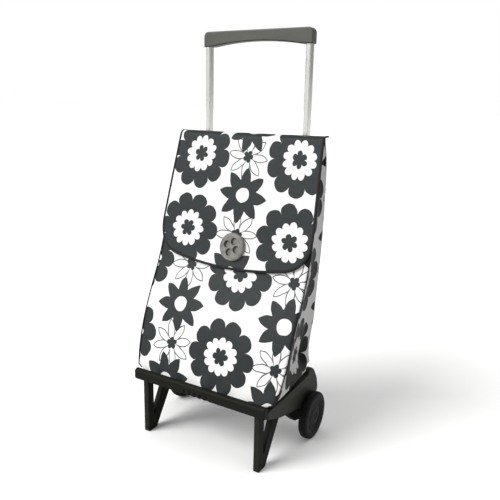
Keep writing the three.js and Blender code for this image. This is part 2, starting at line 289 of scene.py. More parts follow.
def sheetGrid(name, place, columns, rows, clothAt, thick, inside=-1):
    # a sheet of cloth from a grid of points, with its flat cutting plan as the UV map, in metres
    points = [place(i, j) for j in range(rows + 1) for i in range(columns + 1)]
    faces = []
    for j in range(rows):
        for i in range(columns):
            a = j * (columns + 1) + i
            faces.append((a, a + 1, a + columns + 2, a + columns + 1))
    mesh = bpy.data.meshes.new(name)
    mesh.from_pydata(points, [], faces)
    plan = mesh.uv_layers.new(name="cutting plan")
    for loop in mesh.loops:
        j, i = divmod(loop.vertex_index, columns + 1)
        plan.data[loop.index].uv = clothAt(i, j)
    obj = newObject(name, mesh)
    smoothBy(obj, 70)
    layers = obj.modifiers.new("cloth thickness", "SOLIDIFY")
    layers.thickness = thick * mm
    layers.offset = inside
    layers.use_even_offset = True
    layers.material_offset = 1
    layers.material_offset_rim = 0
    return obj


def drill(obj, *tools):
    for tool in tools:
        cutting = obj.modifiers.new("drill", "BOOLEAN")
        cutting.operation = "DIFFERENCE"
        cutting.solver = "EXACT"
        cutting.object = tool
    graph = bpy.context.evaluated_depsgraph_get()
    mesh = bpy.data.meshes.new_from_object(obj.evaluated_get(graph))
    obj.modifiers.clear()
    obj.data = mesh
    for tool in tools:
        bpy.data.objects.remove(tool)
    cleanMesh(mesh, join=0.00001, outward=False)
    smoothBy(obj, 40)
    evenNormals(obj)
    return obj


def cutter(x0, x1, y0, y1, z0, z1, radius=0.6):
    return moulded("cutter", [boxOutline(x0, x1, y0, y1, radius, 3)], "z", z0, z1, 0.2, 1)


def rodCutter(radius, x0, x1, y, z):
    return turned("cutter", [(0, x0), (radius, x0), (radius, x1), (0, x1)], (y, z), 32)


def addNode(tree, kind, inputs=(), **settings):
    made = tree.nodes.new("ShaderNode" + kind)
    for key, value in settings.items():
        setattr(made, key, value)
    for socket, value in inputs:
        if isinstance(value, bpy.types.NodeSocket):
            tree.links.new(value, made.inputs[socket])
        else:
            made.inputs[socket].default_value = value
    return made


def sums(tree, operation, *values, clamp=False):
    return addNode(tree, "Math", list(enumerate(values)), operation=operation, use_clamp=clamp).outputs[0]


def vectorSums(tree, operation, *values):
    return addNode(tree, "VectorMath", list(enumerate(values)), operation=operation).outputs[0]


def blendTones(tree, share, a, b):
    tones = [v if isinstance(v, bpy.types.NodeSocket) else (*v, 1) for v in (a, b)]
    return addNode(tree, "Mix", [(0, share), (6, tones[0]), (7, tones[1])], data_type="RGBA").outputs[2]


def blendNumbers(tree, share, a, b):
    return addNode(tree, "Mix", [(0, share), (2, a), (3, b)], data_type="FLOAT").outputs[0]


def newFinish(name):
    finish = bpy.data.materials.new(name)
    finish.use_nodes = True
    tree = finish.node_tree
    return finish, tree, tree.nodes["Principled BSDF"]


def objectPlace(tree):
    return addNode(tree, "TexCoord").outputs["Object"]


def grain(tree, where, scale, detail=3, roughness=0.55):
    made = addNode(tree, "TexNoise", [("Vector", where), ("Scale", scale), ("Detail", detail),
                                      ("Roughness", roughness)])
    return made.outputs["Fac"]


def stretch(tree, where, x, y, z):
    return addNode(tree, "Mapping", [("Vector", where), ("Scale", (x, y, z))]).outputs[0]


def paint(tree, shader, tone, rough, gloss=0.5, metal=0):
    tree.links.new(tone, shader.inputs["Base Color"])
    tree.links.new(rough, shader.inputs["Roughness"])
    shader.inputs["Specular IOR Level"].default_value = gloss
    shader.inputs["Metallic"].default_value = metal


def bumpOn(tree, shader, height, strength, distance):
    bump = addNode(tree, "Bump", [("Height", height), ("Strength", strength), ("Distance", distance)])
    tree.links.new(bump.outputs[0], shader.inputs["Normal"])


def ramped(tree, value, low, high):
    return addNode(tree, "MapRange", [("Value", value), ("From Min", low), ("From Max", high)]).outputs[0]


def edgeWear(tree, reach):
    # 1 on worn outer edges, from how convex the surface is
    made = addNode(tree, "NewGeometry")
    return ramped(tree, made.outputs["Pointiness"], 0.5, 0.5 + reach)


plasticSet = {
    "gripPlastic": dict(tone=(0.060, 0.061, 0.051), worn=(0.13, 0.13, 0.112), rough=0.46, gloss=0.34,
                        grainSize=900, grainDepth=0.18),
    "darkPlastic": dict(tone=(0.0078, 0.0080, 0.0058), worn=(0.034, 0.035, 0.029), rough=0.46, gloss=0.05,
                        grainSize=700, grainDepth=0.16),
    "armPlastic": dict(tone=(0.0160, 0.0165, 0.0122), worn=(0.046, 0.047, 0.040), rough=0.46, gloss=0.12,
                       grainSize=700, grainDepth=0.16),
    "hubPlastic": dict(tone=(0.0085, 0.0095, 0.0080), worn=(0.05, 0.053, 0.05), rough=0.5, gloss=0.08,
                       grainSize=600, grainDepth=0.2),
}


def plasticFinish(name, look):
    # moulded plastic: a fine spark-eroded grain, faint flow marks, lighter rubbed edges, and painted shade on
    # the faces that look down
    finish, tree, shader = newFinish(name)
    where = objectPlace(tree)
    flow = grain(tree, stretch(tree, where, 9, 9, 26), 1.4, 4)
    scuffs = ramped(tree, grain(tree, where, 60, 6, 0.7), 0.60, 0.78)
    rubbed = sums(tree, "MULTIPLY", edgeWear(tree, 0.12), sums(tree, "ADD", flow, 0.15), clamp=True)
    base = blendTones(tree, ramped(tree, flow, 0.3, 0.7), [c * 0.90 for c in look["tone"]],
                      [c * 1.10 for c in look["tone"]])
    tone = blendTones(tree, sums(tree, "MULTIPLY", rubbed, 0.75), base, look["worn"])
    # painted shade: faces whose normal points down are darkened, standing in for the shadow under each part
    normal = addNode(tree, "NewGeometry").outputs["Normal"]
    facing = addNode(tree, "SeparateXYZ", [(0, normal)]).outputs[2]
    paintedUndersideShade = ramped(tree, sums(tree, "MULTIPLY", facing, -1.0), 0.03, 0.3)
    tone = blendTones(tree, sums(tree, "MULTIPLY", paintedUndersideShade, 0.95), tone, [c * 0.12 for c in look["tone"]])
    rough = blendNumbers(tree, scuffs, look["rough"], look["rough"] + 0.16)
    paint(tree, shader, tone, rough, gloss=look["gloss"])
    pebbles = addNode(tree, "TexVoronoi", [("Vector", where), ("Scale", look["grainSize"])])
    bumpOn(tree, shader, pebbles.outputs["Distance"], look["grainDepth"], 0.0004)
    return finish


def rubberFinish(name):
    finish, tree, shader = newFinish(name)
    where = objectPlace(tree)
    dust = ramped(tree, grain(tree, where, 45, 6, 0.65), 0.48, 0.75)
    tone = blendTones(tree, dust, (0.0022, 0.0022, 0.0020), (0.006, 0.006, 0.0055))
    tone = blendTones(tree, sums(tree, "MULTIPLY", edgeWear(tree, 0.15), 0.5), tone, (0.016, 0.016, 0.014))
    paint(tree, shader, tone, blendNumbers(tree, dust, 0.55, 0.8), gloss=0.16)
    bumpOn(tree, shader, grain(tree, where, 600, 3), 0.25, 0.0005)
    return finish


metalSet = {
    "aluminium": dict(tone=(0.76, 0.762, 0.722), shade=(0.72, 0.722, 0.682), rough=0.28,
                      along=(160, 160, 3), metal=0.94),
    "steel": dict(tone=(0.55, 0.55, 0.54), shade=(0.40, 0.40, 0.39), rough=0.3, along=(12, 260, 260),
                  metal=1),
}


def metalFinish(name, look):
    # drawn metal: fine streaks along its length
    finish, tree, shader = newFinish(name)
    where = objectPlace(tree)
    streaks = grain(tree, stretch(tree, where, *look["along"]), 4, 5, 0.6)
    haze = grain(tree, where, 22, 4)
    rough = sums(tree, "MULTIPLY_ADD", sums(tree, "ADD", streaks, haze), 0.12, look["rough"] - 0.1)
    paint(tree, shader, blendTones(tree, streaks, look["shade"], look["tone"]), rough, metal=look["metal"])
    bumpOn(tree, shader, streaks, 0.06, 0.0003)
    return finish


def tapeFinish(name):
    # black woven tape: fine ribs across it
    finish, tree, shader = newFinish(name)
    where = objectPlace(tree)
    worn = grain(tree, where, 70, 5, 0.65)
    ribs = addNode(tree, "TexWave", [("Vector", where), ("Scale", 180), ("Distortion", 1.5), ("Detail", 1)],
                   bands_direction="DIAGONAL").outputs["Fac"]
    tone = blendTones(tree, worn, (0.003, 0.003, 0.0035), (0.009, 0.009, 0.010))
    tone = blendTones(tree, sums(tree, "MULTIPLY", ribs, 0.3), tone, (0.020, 0.020, 0.021))
    paint(tree, shader, tone, blendNumbers(tree, worn, 0.55, 0.8), gloss=0.25)
    bumpOn(tree, shader, ribs, 0.35, 0.0004)
    return finish


def pewterFinish(name):
    # cast stone-grey metal-look plastic: mottled, with darker specks, rubbed on the rim
    finish, tree, shader = newFinish(name)
    where = objectPlace(tree)
    mottle = grain(tree, where, 95, 7, 0.62)
    specks = ramped(tree, grain(tree, where, 420, 3), 0.56, 0.70)
    tone = blendTones(tree, ramped(tree, mottle, 0.32, 0.68), (0.080, 0.078, 0.068), (0.165, 0.161, 0.143))
    tone = blendTones(tree, sums(tree, "MULTIPLY", specks, 0.4), tone, (0.08, 0.078, 0.07))
    tone = blendTones(tree, sums(tree, "MULTIPLY", edgeWear(tree, 0.1), 0.6), tone, (0.34, 0.33, 0.30))
    paint(tree, shader, tone, blendNumbers(tree, mottle, 0.34, 0.52), metal=0.25)
    bumpOn(tree, shader, mottle, 0.3, 0.0008)
    return finish


def boardFinish(name):
    finish, tree, shader = newFinish(name)
    where = objectPlace(tree)
    fibres = grain(tree, stretch(tree, where, 220, 60, 200), 3, 6, 0.7)
    tone = blendTones(tree, fibres, (0.05, 0.045, 0.038), (0.15, 0.135, 0.115))
    paint(tree, shader, tone, blendNumbers(tree, fibres, 0.75, 0.95))
    bumpOn(tree, shader, fibres, 0.3, 0.0006)
    return finish


# the printed cloth: the outlined flower's line is in mm, wobble, threads and edge are in metres
printSet = dict(
    # the side white and side ink are the same cloth made darker: painted shade for the side walls, which
    # stand out of the light
    white=(0.68, 0.685, 0.68), shadedSideWhite=(0.44, 0.442, 0.44),
    ink=(0.0085, 0.0122, 0.0124), shadedSideInk=(0.004, 0.0045, 0.0045), gloss=0.24, sideGloss=0.12,
    line=1.05, wobble=0.0075, wobbleSize=34, threads=0.0016, edge=0.0005,
)


def petalGroup(name, pointed, outlined):
    # one flower in polar form: petals round a centre, filled or drawn as a thin line
    group = bpy.data.node_groups.new(name, "ShaderNodeTree")
    for label in ("Cloth", "Centre", "Core", "Reach", "HalfCount", "Turn", "Fullness", "Line"):
        kind = "Vector" if label in ("Cloth", "Centre") else "Float"
        group.interface.new_socket(label, in_out="INPUT", socket_type="NodeSocket" + kind)
    group.interface.new_socket("Mask", in_out="OUTPUT", socket_type="NodeSocketFloat")
    given = group.nodes.new("NodeGroupInput").outputs
    result = group.nodes.new("NodeGroupOutput")
    local = vectorSums(group, "SUBTRACT", given["Cloth"], given["Centre"])
    distance = addNode(group, "VectorMath", [(0, local)], operation="LENGTH").outputs["Value"]
    parts = addNode(group, "SeparateXYZ", [(0, local)]).outputs
    angle = sums(group, "ARCTAN2", parts[1], parts[0])
    swing = sums(group, "MULTIPLY_ADD", angle, given["HalfCount"], given["Turn"])

    def edgeAt(phase):
        lobe = sums(group, "ABSOLUTE", sums(group, "SINE" if pointed else "COSINE", phase))
        if pointed:
            lobe = sums(group, "SUBTRACT", 1.0, lobe, clamp=True)
        lobe = sums(group, "POWER", sums(group, "MAXIMUM", lobe, 0.0005), given["Fullness"])
        return sums(group, "MULTIPLY_ADD", lobe, given["Reach"], given["Core"])

    edge = edgeAt(swing)
    inside = sums(group, "SUBTRACT", edge, distance)
    if outlined:
        small = 0.02
        rise = sums(group, "SUBTRACT", edgeAt(sums(group, "ADD", swing, small)), edge)
        rise = sums(group, "MULTIPLY", rise, given["HalfCount"])
        slope = sums(group, "DIVIDE", rise, sums(group, "MULTIPLY", distance, small))
        length = sums(group, "SQRT", sums(group, "MULTIPLY_ADD", slope, slope, 1.0))
        away = sums(group, "ABSOLUTE", sums(group, "DIVIDE", inside, length))
        inside = sums(group, "SUBTRACT", given["Line"], away)
    mask = sums(group, "MULTIPLY_ADD", inside, 1 / printSet["edge"], 0.5, clamp=True)
    group.links.new(mask, result.inputs["Mask"])
    return group


petals = {
    "lobed": petalGroup("lobed flower", False, False),
    "pointed": petalGroup("pointed flower", True, False),
    "pointedLine": petalGroup("pointed outline", True, True),
}

# each layer of a flower is its kind, dark or white, core, reach, number of petals and petal fullness
repeatSet = dict(
    across=140, up=178,
    bloom=[("lobed", 1, 64, 87, 10, 0.42), ("lobed", 0, 32, 45, 12, 0.5), ("lobed", 1, 12, 21, 6, 0.6)],
    spiked=[("pointed", 1, 38, 67, 8, 0.5), ("lobed", 0, 17, 18, 1, 1)],
    daisy=[("pointedLine", 1, 12, 56, 8, 0.32), ("lobed", 1, 9, 15, 5, 0.6)],
)


def gridSteps(low, high, start, pitch):
    return range(math.floor((low - start) / pitch) - 1, math.ceil((high - start) / pitch) + 2)


def floralRepeat(x0, x1, z0, z1, startX, startZ):
    # a plain half-drop repeat of three simple flowers, in which the outlined ones lie under the filled ones
    outlined, filled = [], []

    def place(flower, x, z, turn):
        widest = repeatSet[flower][0][3]
        if not (x0 - widest < x < x1 + widest and z0 - widest < z < z1 + widest):
            return
        for kind, dark, core, reach, count, fullness in repeatSet[flower]:
            layers = outlined if kind.endswith("Line") else filled
            layers.append((kind, dark, x, z, core, reach, count, turn if count > 1 else 0, fullness))

    for i in gridSteps(x0, x1, startX, repeatSet["across"]):
        for j in gridSteps(z0, z1, startZ, repeatSet["up"]):
            x = startX + i * repeatSet["across"]
            z = startZ + (j + 0.5 * (i % 2)) * repeatSet["up"]
            turn = 0.4 * i + 0.7 * j
            if i % 2 == 0:
                place("bloom", x, z, turn)
            else:
                place("spiked", x, z, turn)
                place("daisy", x, z + repeatSet["up"] / 2, turn)
    return outlined + filled


flapFlowers = floralRepeat(-206, 206, 421, 730, -128, 498)
frontFlowers = floralRepeat(-203, 203, 150, 724, 38, 236)
# on the side walls x is the distance in front of the back panel
sideFlowers = floralRepeat(0, 212, 150, 724, 92, 240)
backFlowers = floralRepeat(-194, 194, 150, 724, -20, 300)


def printedFinish(name, flowers, toPlan, white, inkTone, gloss):
    # coated cloth: white ground, charcoal flowers with wavering edges, a fine weave under the coating
    finish, tree, shader = newFinish(name)
    plan = addNode(tree, "UVMap", uv_map="cutting plan").outputs[0]
    drift = addNode(tree, "TexNoise", [("Vector", plan), ("Scale", printSet["wobbleSize"]), ("Detail", 1.5)])
    centred = vectorSums(tree, "SUBTRACT", drift.outputs["Color"], (0.5, 0.5, 0.5))
    wander = addNode(tree, "VectorMath", [(0, centred), ("Scale", printSet["wobble"])], operation="SCALE")
    flatWander = vectorSums(tree, "MULTIPLY", wander.outputs[0], (1, 1, 0))
    cloth = vectorSums(tree, "ADD", plan, flatWander)
    ink = 0.0
    for kind, dark, x, z, core, reach, count, turn, fullness in flowers:
        u, v = toPlan(x, z)
        flower = addNode(tree, "Group", node_tree=petals[kind])
        tree.links.new(cloth, flower.inputs["Cloth"])
        facts = dict(Centre=(u, v, 0), Core=core * mm, Reach=(reach - core) * mm, HalfCount=count / 2,
                     Turn=turn, Fullness=fullness, Line=printSet["line"] * mm)
        for key, value in facts.items():
            flower.inputs[key].default_value = value
        ink = blendNumbers(tree, flower.outputs["Mask"], ink, float(dark))
    spread = ramped(tree, grain(tree, plan, 55, 5, 0.6), 0.3, 0.7)
    ground = blendTones(tree, spread, [c * 0.97 for c in white], white)
    charcoal = blendTones(tree, spread, inkTone, [c * 1.25 for c in inkTone])
    rough = sums(tree, "MULTIPLY_ADD", spread, 0.1, blendNumbers(tree, ink, 0.55, 0.48))
    paint(tree, shader, blendTones(tree, ink, ground, charcoal), rough, gloss=gloss)
    axes = addNode(tree, "SeparateXYZ", [(0, plan)]).outputs
    pitch = 2 * math.pi / printSet["threads"]
    warp = sums(tree, "SINE", sums(tree, "MULTIPLY", axes[0], pitch))
    weft = sums(tree, "SINE", sums(tree, "MULTIPLY", axes[1], pitch))
    weave = sums(tree, "MULTIPLY_ADD", sums(tree, "MULTIPLY", warp, weft), 0.12, spread)
    bumpOn(tree, shader, weave, 0.35, 0.0011)
    return finish


def liningFinish(name):
    # the coated inner side of the cloth
    finish, tree, shader = newFinish(name)
    where = objectPlace(tree)
    crease = grain(tree, where, 26, 6, 0.6)
    tone = blendTones(tree, crease, (0.46, 0.47, 0.47), (0.60, 0.61, 0.61))
    paint(tree, shader, tone, blendNumbers(tree, crease, 0.4, 0.6))
    bumpOn(tree, shader, crease, 0.35, 0.002)
    return finish


finishes = {name: plasticFinish(name, look) for name, look in plasticSet.items()}
finishes.update({name: metalFinish(name, look) for name, look in metalSet.items()})
finishes["rubber"] = rubberFinish("rubber")
finishes["tape"] = tapeFinish("black tape")
finishes["pewter"] = pewterFinish("pewter")
finishes["board"] = boardFinish("fibre board")
finishes["lining"] = liningFinish("coated lining")
print("finishes mixed")


def dress(obj, *names):
    obj.data.materials.clear()
    for name in names:
        obj.data.materials.append(finishes[name])


def fit(obj, body, slotName, *nodes, look=None):
    # the piece gets its finish, moves with its body, and stands for its CAD nodes
    if look:
        dress(obj, *([look] if isinstance(look, str) else look))
    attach(obj, body)
    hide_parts(*nodes)
    return obj


sides = (("left", -1), ("right", 1))


def both(side, low, high):
    return (low, high) if side > 0 else (-high, -low)


# handle and tubes
gripSize = dict(half=144, bottom=925.4, top=960, depth=23, corner=12, arch=10, archFrom=120, edge=2.6,
                socketTop=948.3)
tubeSize = dict(x=134, innerWidth=12.4, innerDepth=17.6, innerWall=1.3, innerBottom=640, innerTop=948,
                outerWidth=16, outerDepth=21.5, outerWall=1.4, outerBottom=91, outerTop=696,
                innerHole=(6.5, 9.1), outerHole=(8.3, 11.05), holeCorner=2.4)
collarSize = dict(width=24, depth=26.4, bottom=680, top=703, edge=1.6, seat=697.2)


def gripOutline(size, steps=28):
    half, bottom, reach = size["half"], size["bottom"], size["archFrom"]
    outline = [(-half, bottom)]
    for k in range(steps + 1):
        x = -reach + 2 * reach * k / steps
        outline.append((x, bottom + size["arch"] * (1 - (abs(x) / reach) ** 2)))
    outline.append((half, bottom))
    corners = [(half, bottom + 5), (half, size["top"]), (-half, size["top"]), (-half, bottom + 5)]
    outline += roundedCorners(corners, [0, size["corner"], size["corner"], 0], 7)
    return outline


def tubeHole(side, which, bottom, top, corner=tubeSize["holeCorner"]):
    # a cutter round one tube: innerHole or outerHole is half its width and depth
    middle = side * tubeSize["x"]
    halfWide, halfDeep = tubeSize[which]
    return cutter(middle - halfWide, middle + halfWide, -halfDeep, halfDeep, bottom, top, corner)


grip = moulded("grip_shell", [gripOutline(gripSize)], "y", -gripSize["depth"] / 2, gripSize["depth"] / 2,
               gripSize["edge"], 3)
drill(grip, *[tubeHole(s, "innerHole", 910, gripSize["socketTop"], 0.6) for s in (-1, 1)])
fit(grip, "handle", "grip_plastic", "grip", look="gripPlastic")


def squareTube(name, x, width, depth, wall, bottom, top):
    outer = boxOutline(x - width / 2, x + width / 2, -depth / 2, depth / 2, 2.6, 5)
    bore = boxOutline(x - width / 2 + wall, x + width / 2 - wall, -depth / 2 + wall, depth / 2 - wall, 1.4, 4)
    return moulded(name, [outer, bore], "z", bottom, top, 0.25, 1)


for label, s in sides:
    t = tubeSize
    inner = squareTube("sliding_tube_" + label, s * t["x"], t["innerWidth"], t["innerDepth"], t["innerWall"],
                       t["innerBottom"], t["innerTop"])
    fit(inner, "handle", "aluminium_tube", "inner_tube_" + label, look="aluminium")
    outer = squareTube("fixed_tube_" + label, s * t["x"], t["outerWidth"], t["outerDepth"], t["outerWall"],
                       t["outerBottom"], t["outerTop"])
    fit(outer, "frame", "aluminium_tube", "outer_tube_" + label, look="aluminium")
    c = collarSize
    body = boxOutline(s * t["x"] - c["width"] / 2, s * t["x"] + c["width"] / 2, -c["depth"] / 2,
                      c["depth"] / 2, 4, 6)
    halfWide, halfDeep = t["innerHole"]
    bore = boxOutline(s * t["x"] - halfWide, s * t["x"] + halfWide, -halfDeep, halfDeep, t["holeCorner"], 4)
    collar = moulded("collar_" + label, [body, bore], "z", c["bottom"], c["top"], c["edge"], 3)
    drill(collar, tubeHole(s, "outerHole", c["bottom"] - 5, c["seat"]))
    fit(collar, "frame", "dark_plastic", "tube_collar_" + label, look="darkPlastic")

crossbar = moulded("rear_crossbar", [boxOutline(-5, 6, 684, 699, 3)], "x", -121.7, 121.7, 0.6, 2)
fit(crossbar, "frame", "dark_plastic", "top_crossbar", look="darkPlastic")
print("handle and tubes made")


# rear foot: block, brackets, wheels
blockSize = dict(half=149.6, front=-13.5, rear=17, bottom=88, top=146, edge=2.2)
wheelSize = dict(radius=58, inner=184, outer=206, axleY=-30, axleZ=58, blocks=60, notch=2.4)
pivotSize = dict(y=-28, z=140, hole=5.3)
plateSize = dict(bracket=(150, 166), arm=(168.4, 182), armHoleEnd=176.4, leg=(150, 164))


def makeBlock(size):
    block = moulded("wheel_beam", [boxOutline(size["front"], size["rear"], size["bottom"], size["top"], 5)],
                    "x", -size["half"], size["half"], size["edge"], 3)
    sockets = [tubeHole(s, "outerHole", size["bottom"] - 5, size["top"] + 5) for s in (-1, 1)]
    windows = [cutter(x - 20, x + 20, size["rear"] - 2.4, size["rear"] + 4, size["bottom"] + 11,
                      size["top"] - 11, 0.3) for x in (-90, -45, 0, 45, 90)]
    return drill(block, *sockets, *windows)


fit(makeBlock(blockSize), "frame", "dark_plastic", "base_block", look="darkPlastic")

bracketOutline = roundedCorners(
    [(17, 148.8), (17, 88), (-14, 43), (-24, 40), (-36, 40), (-60, 46), (-84, 66), (-108, 98), (-108, 110),
     (-66, 136), (-52, 148.8)], [3, 6, 8, 6, 6, 14, 14, 6, 6, 4, 4])


def steppedProfile(size):
    # tyre section as (radius, x), with flags for the points that the tread notches cut
    low, high, r = size["inner"], size["outer"], size["radius"]
    return [
        (36, low + 2.4, 0), (38, low + 1.2, 0), (42, low + 0.5, 0), (48.0, low, 0), (49.6, low + 0.1, 0),
        (50.2, low + 0.9, 0), (r - 5.6, low + 0.9, 0.2), (r - 2.8, low + 1.7, 0.8), (r - 1.2, low + 3.2, 1),
        (r - 0.4, low + 5.2, 1), (r, low + 7.4, 0.2), (r, low + 9.2, 0), (r - 1.0, low + 9.9, 0),
        (r - 1.0, low + 12.1, 0), (r, low + 12.8, 0), (r, high - 7.4, 0.2), (r - 0.4, high - 5.2, 1),
        (r - 1.2, high - 3.2, 1), (r - 2.8, high - 1.7, 0.8), (r - 5.6, high - 0.9, 0.2),
        (50.2, high - 0.9, 0), (49.6, high - 0.1, 0), (48.0, high, 0), (42, high - 0.5, 0),
        (38, high - 1.2, 0), (36, high - 2.4, 0),
    ]


def makeTyre(name, size, side):
    profile = steppedProfile(size)
    perBlock = 6
    steps = size["blocks"] * perBlock
    cutPattern = [1, 1, 0, 0, 0, 0]
    points = []
    for k, (u, v) in enumerate(roundWay(steps)):
        for i, (radius, x, notch) in enumerate(profile):
            shift = 0 if i < len(profile) / 2 else perBlock // 2  # the two shoulders are out of step
            deep = cutPattern[(k + shift) % perBlock] * notch * size["notch"]
            r = radius - deep
            points.append(at(side * x, size["axleY"] + r * u, size["axleZ"] + r * v))
    return meshFrom(name, points, ringFaces(steps, len(profile), closed=True), 32)


def spokedHub(name, side, size):
    centre = (size["axleY"], size["axleZ"])
    profile = [(5.4, 184.5), (11.4, 184.5), (12, 185.1), (12, 190), (29.4, 190), (30, 189.4), (30, 186.4),
               (30.4, 186), (35.0, 186), (35.6, 186.6), (35.6, 203.4), (35.0, 204.6), (33.0, 205.0),
               (31.4, 204.2), (31.4, 196), (5.4, 196)]
    return turned(name, [(r, side * x) for r, x in profile], centre, 72)


def domedCap(name, side, size):
    profile = [(0, 200.5), (30.6, 200.5), (31, 200.9), (31, 203.0), (30.3, 203.9), (28.6, 204.2),
               (27.4, 203.8), (26.6, 203.0), (25.2, 202.9), (24.2, 203.4), (22, 203.9), (12, 204.3),
               (9.0, 204.4), (8.2, 204.0), (7.4, 203.4), (6.4, 203.4), (5.4, 204.0), (4.2, 204.4),
               (0, 204.5)]
    return turned(name, [(r, side * x) for r, x in profile], (size["axleY"], size["axleZ"]), 72)


for label, s in sides:
    low, high = both(s, *plateSize["bracket"])
    bracket = moulded("axle_bracket_" + label, [bracketOutline], "x", low, high, 1.6, 3)
    drill(bracket, rodCutter(pivotSize["hole"], low - 4, high + 4, wheelSize["axleY"], wheelSize["axleZ"]),
          rodCutter(pivotSize["hole"], low - 4, high + 4, pivotSize["y"], pivotSize["z"]))
    fit(bracket, "frame", "dark_plastic", "wheel_bracket_" + label, look="darkPlastic")
    tyre = makeTyre("treaded_tyre_" + label, wheelSize, s)
    fit(tyre, "wheel_" + label, "tyre", "tyre_" + label, look="rubber")
    hub = spokedHub("moulded_hub_" + label, s, wheelSize)
    fit(hub, "wheel_" + label, "wheel_plastic", "wheel_hub_" + label, look="hubPlastic")
    cap = domedCap("wheel_cap_" + label, s, wheelSize)
    fit(cap, "wheel_" + label, "wheel_plastic", "hub_cap_" + label, look="hubPlastic")
print("rear foot and wheels made")


# folding platform
barSize = dict(half=182, front=-246, rear=-229.5, bottom=139, top=167, corner=7.5, ribs=5, ribPitch=15,
               ribDepth=2.6, ribTop=156, endRound=3)


def makeBar(size):
    # a long moulded bar with finger flutes low on its front
    ring = boxOutline(size["front"], size["rear"], size["bottom"], size["top"], size["corner"], 6)
    dense = []
    for a, b in zip(ring, ring[1:] + ring[:1]):
        pieces = max(1, round((Vector(b) - Vector(a)).length / 3))
        dense += [tuple(Vector(a).lerp(Vector(b), k / pieces)) for k in range(pieces)]
    middle = ((size["front"] + size["rear"]) / 2, (size["bottom"] + size["top"]) / 2)
    reach = size["ribs"] * size["ribPitch"] / 2
    stations = [-size["half"] + size["endRound"] * (1 - math.cos(math.pi / 2 * k / 5)) for k in range(6)]
    stations += [-size["half"] + size["endRound"] + k * 12 for k in range(1, 12)]
    stations = [x for x in stations if x < -reach - 2]
    fine = round(2 * reach / 1.5)
    across = [-reach + 2 * reach * k / fine for k in range(fine + 1)]
    stations = stations + across + [-x for x in reversed(stations)]
    points = []
    for x in stations:
        fromEnd = size["half"] - abs(x)
        lost = 0
        if fromEnd < size["endRound"]:
            r = size["endRound"]
            lost = r - math.sqrt(max(r ** 2 - (r - fromEnd) ** 2, 0))
        wave = 0
        if abs(x) < reach:
            wave = 0.5 - 0.5 * math.cos(2 * math.pi * (x + reach) / size["ribPitch"])
        for y, z in dense:
            offset = Vector((y - middle[0], z - middle[1]))
            shrunk = offset * (1 - lost / offset.length)
            newY, newZ = middle[0] + shrunk.x, middle[1] + shrunk.y
            low = ease((size["ribTop"] - z) / 8)
            ahead = ease((middle[0] + 3 - y) / 5)
            newY += wave * size["ribDepth"] * low * ahead
            points.append(at(x, newY, newZ))
    return meshFrom("grip_bar", points, ringFaces(len(stations), len(dense)), 50)


bar = makeBar(barSize)
evenNormals(bar)
fit(bar, "platform", "dark_plastic", "front_bar", look="darkPlastic")

armOutline = roundedCorners(
    [(-229.2, 134), (-170, 112), (-52, 85), (-20, 83.4), (8, 91), (22, 97), (27, 106), (20, 134), (2, 162),
     (-11, 172.5), (-24, 172), (-34, 160), (-150, 154), (-229.2, 152)],
    [2, 20, 24, 20, 12, 9, 9, 34, 20, 8, 6, 8, 20, 2], 6)
legOutline = roundedCorners(
    [(-234, 0), (-203, 0), (-114, 141.7), (-156, 141.7), (-210, 38), (-213, 38), (-213, 141.7),
     (-229.2, 141.7), (-229.2, 138.7), (-234, 138.7)], [4, 7, 1, 1, 2, 2, 1, 1, 0, 0], 4)

for label, s in sides:
    low, high = both(s, *plateSize["arm"])
    arm = moulded("platform_arm_" + label, [armOutline], "x", low, high, 1.8, 3)
    holeEnds = both(s, plateSize["arm"][0] - 2, plateSize["armHoleEnd"])
    drill(arm, rodCutter(pivotSize["hole"], *holeEnds, pivotSize["y"], pivotSize["z"]))
    fit(arm, "platform", "dark_plastic", "side_arm_" + label, look="armPlastic")
    low, high = both(s, *plateSize["leg"])
    leg = moulded("stand_leg_" + label, [legOutline], "x", low, high, 1.5, 3)
    fit(leg, "platform", "dark_plastic", "front_leg_" + label, look="darkPlastic")

floorSize = dict(half=168.1, front=-229.2, rear=-62, bottom=142, top=146, slotHalf=20, slotFront=-205,
                 slotRear=-95, slots=(-120, -60, 0, 60, 120))


def makeFloor(size):
    rings = [boxOutline(-size["half"], size["half"], size["front"], size["rear"], 4)]
    rings += [boxOutline(x - size["slotHalf"], x + size["slotHalf"], size["slotFront"], size["slotRear"], 6)
              for x in size["slots"]]
    return moulded("slotted_floor", rings, "z", size["bottom"], size["top"], 0.8, 2)


fit(makeFloor(floorSize), "platform", "dark_plastic", "floor_plate", look="darkPlastic")
print("platform made")


# bag: lower and upper are the slopes of its front, below and above its waist
bagSize = dict(
    bottom=150, top=724, waistZ=430, waistY=-112, lower=0.4191, upper=0.2755, bend=60, backY=-14, thick=2.0,
    armSide=165.6, slump=6.0, sag=1.0,
)
# half widths of the bag at heights, along its front and along its back
frontWidths = [(150, 187), (175, 192), (200, 198), (250, 203), (330, 204.5), (400, 204.5), (490, 203),
               (560, 199), (640, 194.5), (724, 189.5)]
backWidths = [(150, 178), (178, 180), (204, 172), (250, 174), (295, 180), (370, 185), (452, 190),
              (548, 194), (668, 194), (724, 188.5)]


def along(table, z):
    # smooth reading of a table of (height, value)
    if z <= table[0][0]:
        return table[0][1]
    if z >= table[-1][0]:
        return table[-1][1]
    i = next(k for k in range(len(table) - 1) if table[k + 1][0] >= z)
    z0, z1 = table[i][0], table[i + 1][0]
    v0, v1 = table[i][1], table[i + 1][1]
    before = table[max(i - 1, 0)]
    after = table[min(i + 2, len(table) - 1)]
    slope0 = (v1 - before[1]) / (z1 - before[0]) * (z1 - z0)
    slope1 = (after[1] - v0) / (after[0] - z0) * (z1 - z0)
    t = (z - z0) / (z1 - z0)
    return ((2 * t**3 - 3 * t**2 + 1) * v0 + (t**3 - 2 * t**2 + t) * slope0
            + (3 * t**2 - 2 * t**3) * v1 + (t**3 - t**2) * slope1)


